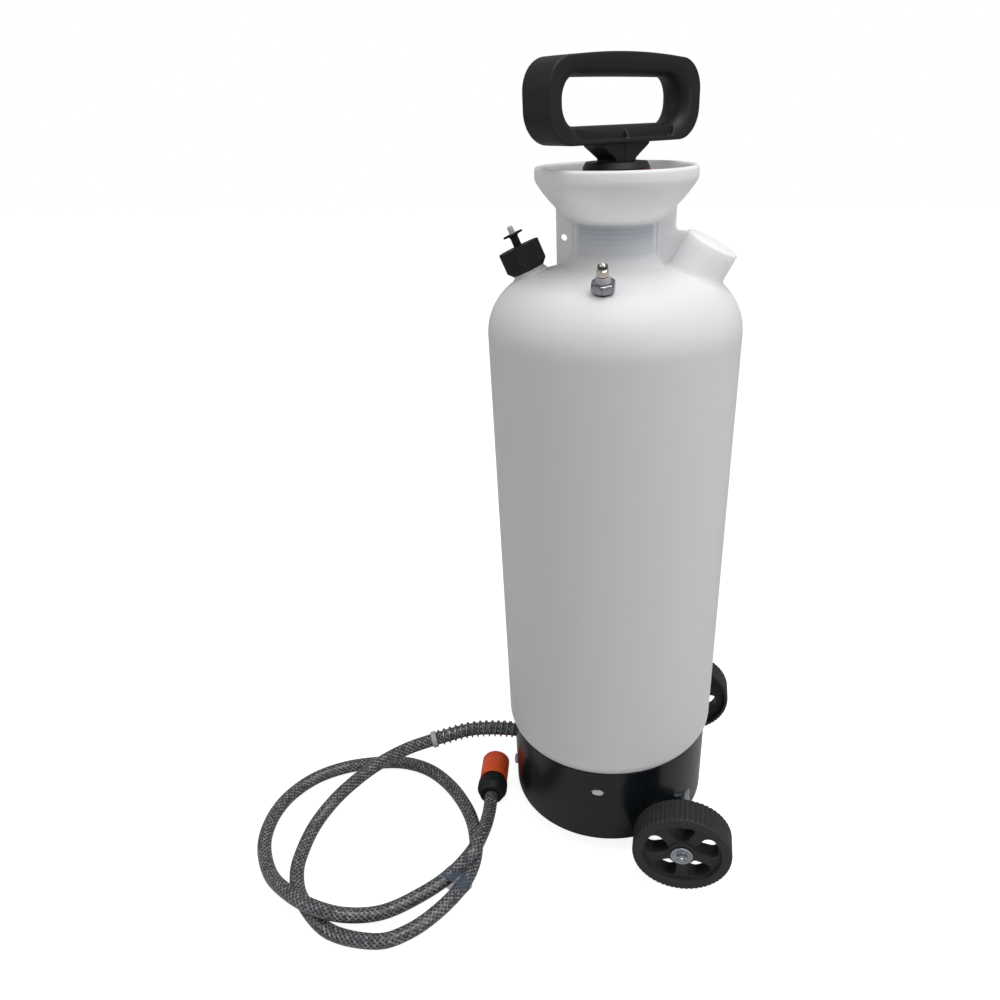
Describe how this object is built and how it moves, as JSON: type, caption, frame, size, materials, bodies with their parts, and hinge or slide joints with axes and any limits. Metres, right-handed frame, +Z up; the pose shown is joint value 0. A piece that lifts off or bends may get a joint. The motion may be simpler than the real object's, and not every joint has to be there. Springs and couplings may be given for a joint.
{
  "type": "wheeled pump sprayer",
  "caption": "Wheeled pump sprayer: a translucent tank in a black base ring on an axle, with a screw-in hand pump, relief and air valves and a braided hose.",
  "frame": {"origin": "middle of the cart's footprint box on the floor, without its hose", "axes": "+Z up, +X towards the axle, the hose leaves at -X, the air valve faces -Y"},
  "size_m": [0.5174, 0.3988, 0.7471],
  "materials": {
    "tank_plastic": "translucent satin",
    "black_gloss": "gloss",
    "black_moulding": "satin moulded",
    "wheel_plastic": "matte",
    "zinc": "zinc plated",
    "steel": "satin",
    "chrome": "polished",
    "brass": "polished",
    "rubber": "matte",
    "red_rubber": "matte",
    "white_plastic": "satin",
    "grey_plastic": "satin",
    "orange_plastic": "satin",
    "hose_braid": "clear over braid",
    "tape": "clear film",
    "bracket_paint": "satin"
  },
  "bodies": {
    "tank": {"tank_foot": "tank_plastic", "tank_barrel": "tank_plastic", "tank_dome": "tank_plastic", "tank_funnel": "tank_plastic", "tank_lip": "tank_plastic", "tank_webs": "tank_plastic", "base_ring": "black_gloss", "foot_bracket": "bracket_paint", "foot_pad": "rubber", "foot_bolts": "zinc", "foot_nuts": "zinc", "axle": "zinc", "axle_spacers": "black_moulding", "axle_washers": "zinc", "axle_nuts": "zinc", "relief_cap": "black_moulding", "relief_seat": "rubber", "relief_spring": "steel", "air_valve_body": "chrome", "air_valve_gasket": "rubber", "air_valve_nut": "chrome", "outlet_elbow": "black_moulding", "outlet_gasket": "rubber", "outlet_nut": "black_moulding", "hose_ferrule": "steel", "hose": "hose_braid", "spring_guard": "steel", "guard_clip": "steel", "hose_tie": "tape", "connector_nut": "black_moulding", "connector_body": "black_moulding", "connector_seal": "rubber"},
    "left_wheel": {"wheel_left": "wheel_plastic"},
    "right_wheel": {"wheel_right": "wheel_plastic"},
    "pump_gasket": {"pump_seal": "rubber"},
    "pump": {"pump_head": "black_moulding", "head_ring": "red_rubber", "rod_guide": "white_plastic", "pump_cylinder": "grey_plastic", "cylinder_foot": "black_moulding", "check_valve": "rubber"},
    "plunger": {"plunger_rod": "steel", "piston": "black_moulding", "piston_cup": "rubber", "handle": "black_moulding", "handle_pin": "steel"},
    "relief": {"relief_stem": "black_moulding", "relief_washer": "rubber", "relief_tip": "white_plastic"},
    "sleeve": {"connector_sleeve": "orange_plastic"},
    "air_cap_liner": {"air_cap_seal": "rubber"},
    "air_cap": {"air_valve_cap": "brass"}
  },
  "joints": [
    {"name": "left_wheel_spin", "type": "hinge", "parent": "tank", "child": "left_wheel", "pos_m": [0.07582, -0.1235, 0.05], "axis": [0, 1, 0], "continuous": true},
    {"name": "right_wheel_spin", "type": "hinge", "parent": "tank", "child": "right_wheel", "pos_m": [0.07582, 0.1235, 0.05], "axis": [0, 1, 0], "continuous": true},
    {"name": "pump_lift", "type": "slide", "parent": "tank", "child": "pump_gasket", "axis": [0, 0, 1], "range_m": [0, 0.0182]},
    {"name": "pump_turn", "type": "hinge", "parent": "pump_gasket", "child": "pump", "pos_m": [-0.01318, 0, 0.6], "axis": [0, 0, 1], "range_deg": [0, 1080]},
    {"name": "pump_stroke", "type": "slide", "parent": "pump", "child": "plunger", "axis": [0, 0, 1], "range_m": [0, 0.23]},
    {"name": "relief_pull", "type": "slide", "parent": "tank", "child": "relief", "axis": [-0.3971, 0, 0.9178], "range_m": [0, 0.002], "stiffness_N_per_m": 1500, "springref_m": -0.002, "deforming": ["relief_spring"]},
    {"name": "sleeve_slide", "type": "slide", "parent": "tank", "child": "sleeve", "axis": [0.1297, -0.9916, 0], "range_m": [0, 0.004], "stiffness_N_per_m": 1500, "springref_m": -0.002},
    {"name": "air_cap_lift", "type": "slide", "parent": "tank", "child": "air_cap_liner", "axis": [0, -0.2924, 0.9563], "range_m": [0, 0.0041]},
    {"name": "air_cap_turn", "type": "hinge", "parent": "air_cap_liner", "child": "air_cap", "pos_m": [-0.01458, -0.073, 0.58636], "axis": [0, -0.2924, 0.9563], "range_deg": [0, 1800]}
  ],
  "couplings": [
    {"joint": "pump_lift", "follows": "pump_turn", "m_per_rad": 0.00095493},
    {"joint": "air_cap_lift", "follows": "air_cap_turn", "m_per_rad": 0.00012732}
  ]
}
